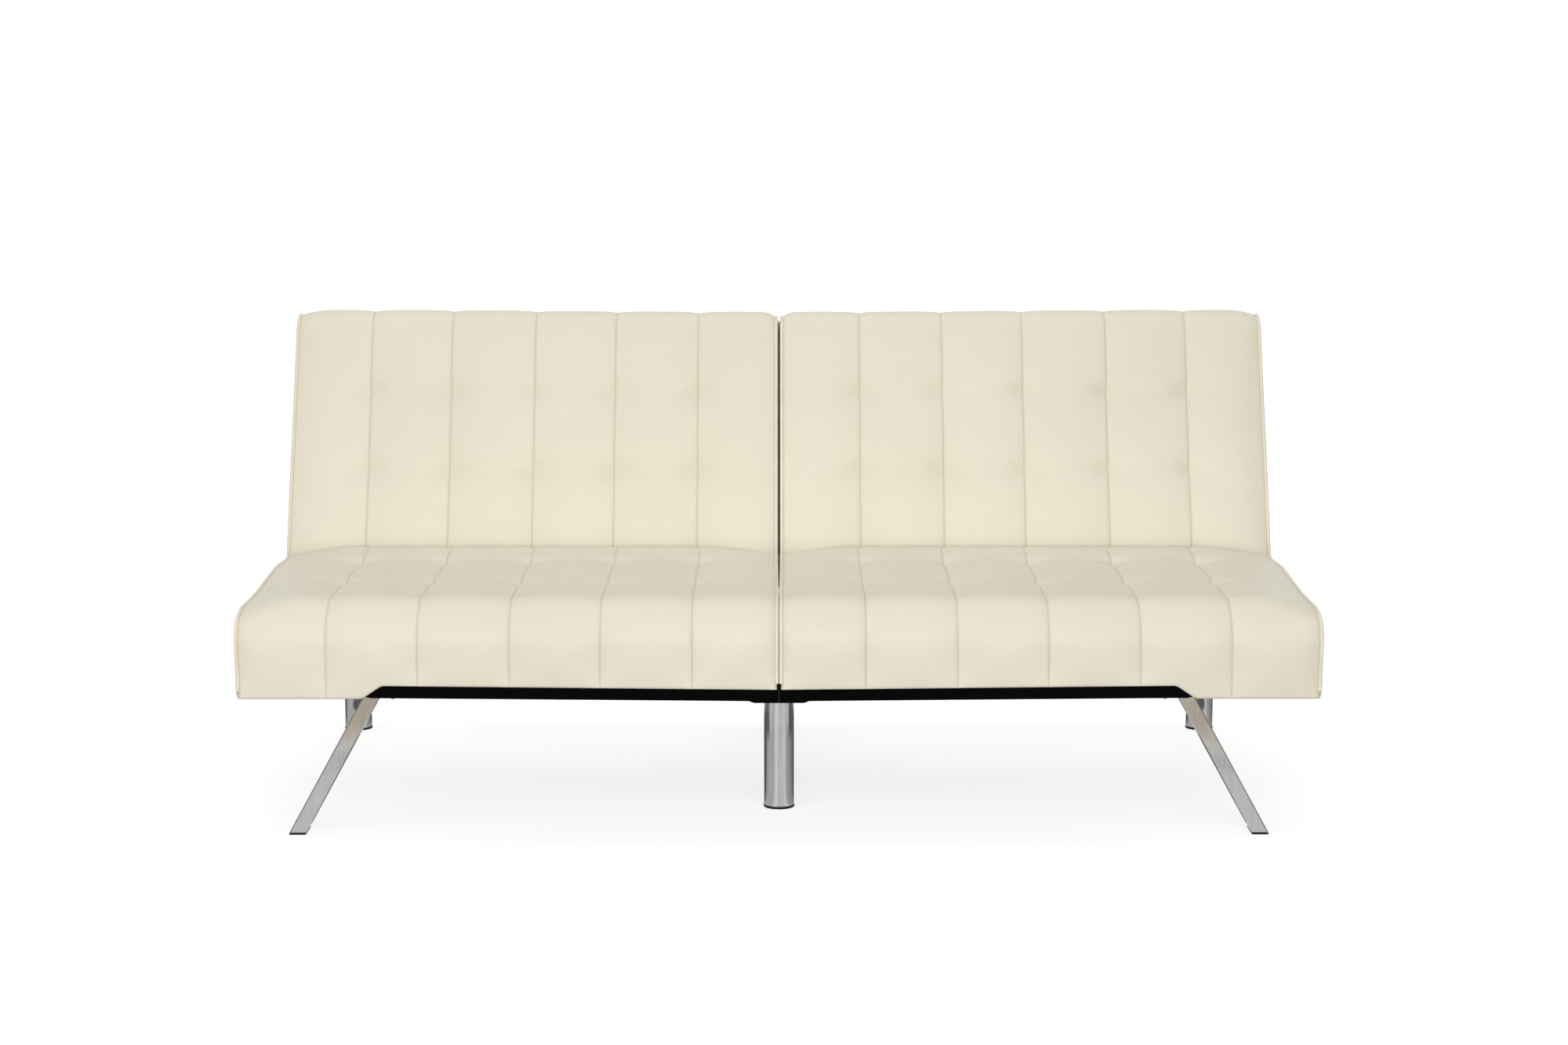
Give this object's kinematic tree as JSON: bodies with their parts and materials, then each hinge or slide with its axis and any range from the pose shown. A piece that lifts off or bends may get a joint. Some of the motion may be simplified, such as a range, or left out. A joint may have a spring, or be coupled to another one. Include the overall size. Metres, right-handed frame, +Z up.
{
  "type": "click clack sofa bed",
  "caption": "Armless click clack sofa bed with quilted channel cushions, a split back that reclines flat, slanted flat front legs and round tube legs.",
  "frame": {"origin": "on the floor, under the middle of the sofa's width and depth", "axes": "+X to the right as seen from the front, +Y to the rear, +Z up"},
  "size_m": [1.74, 0.876, 0.7983],
  "materials": {
    "imitation_leather": "satin vanilla imitation leather",
    "black_fabric": "matt black non-woven fabric",
    "foam": "open-cell foam with wadding",
    "board": "raw plywood and hardboard",
    "timber": "sawn softwood",
    "black_steel": "satin black powder coat",
    "zinc_steel": "zinc-plated steel",
    "chrome": "polished chrome plate",
    "black_plastic": "matt black moulded plastic"
  },
  "bodies": {
    "base": {"seat_cover_left": "imitation_leather", "seat_foam_left": "foam", "seat_deck_left": "board", "seat_dust_cover_left": "black_fabric", "base_front_rail_left": "black_steel", "base_cross_rail_left": "black_steel", "base_rear_rail_left": "black_steel", "base_inner_runner_left": "black_steel", "base_outer_runner_left": "black_steel", "leg_slanted_left": "chrome", "foot_pad_left": "black_plastic", "leg_rear_left": "chrome", "foot_cap_rear_left": "black_plastic", "hinge_bracket_inner_left": "black_steel", "hinge_pin_inner_left": "zinc_steel", "hinge_bracket_outer_left": "black_steel", "hinge_pin_outer_left": "zinc_steel", "seat_cover_right": "imitation_leather", "seat_foam_right": "foam", "seat_deck_right": "board", "seat_dust_cover_right": "black_fabric", "base_front_rail_right": "black_steel", "base_cross_rail_right": "black_steel", "base_rear_rail_right": "black_steel", "base_inner_runner_right": "black_steel", "base_outer_runner_right": "black_steel", "leg_slanted_right": "chrome", "foot_pad_right": "black_plastic", "leg_rear_right": "chrome", "foot_cap_rear_right": "black_plastic", "hinge_bracket_inner_right": "black_steel", "hinge_pin_inner_right": "zinc_steel", "hinge_bracket_outer_right": "black_steel", "hinge_pin_outer_right": "zinc_steel", "leg_centre_front": "chrome", "foot_cap_centre_front": "black_plastic", "leg_centre_rear": "chrome", "foot_cap_centre_rear": "black_plastic"},
    "back_left": {"back_cover_left": "imitation_leather", "back_foam_left": "foam", "back_deck_left": "board", "back_rear_panel_left": "imitation_leather", "back_inner_rail_left": "timber", "back_outer_rail_left": "timber", "back_top_rail_left": "timber", "back_lower_rail_left": "timber", "hinge_arm_inner_left": "zinc_steel", "hinge_arm_outer_left": "zinc_steel"},
    "back_right": {"back_cover_right": "imitation_leather", "back_foam_right": "foam", "back_deck_right": "board", "back_rear_panel_right": "imitation_leather", "back_inner_rail_right": "timber", "back_outer_rail_right": "timber", "back_top_rail_right": "timber", "back_lower_rail_right": "timber", "hinge_arm_inner_right": "zinc_steel", "hinge_arm_outer_right": "zinc_steel"}
  },
  "joints": [
    {"name": "back_left_recline", "type": "hinge", "parent": "base", "child": "back_left", "pos_m": [-0.44, 0.12449, 0.3436], "axis": [1, 0, 0], "range_deg": [-70, 10]},
    {"name": "back_right_recline", "type": "hinge", "parent": "base", "child": "back_right", "pos_m": [0.44, 0.12449, 0.3436], "axis": [1, 0, 0], "range_deg": [-70, 10]}
  ]
}
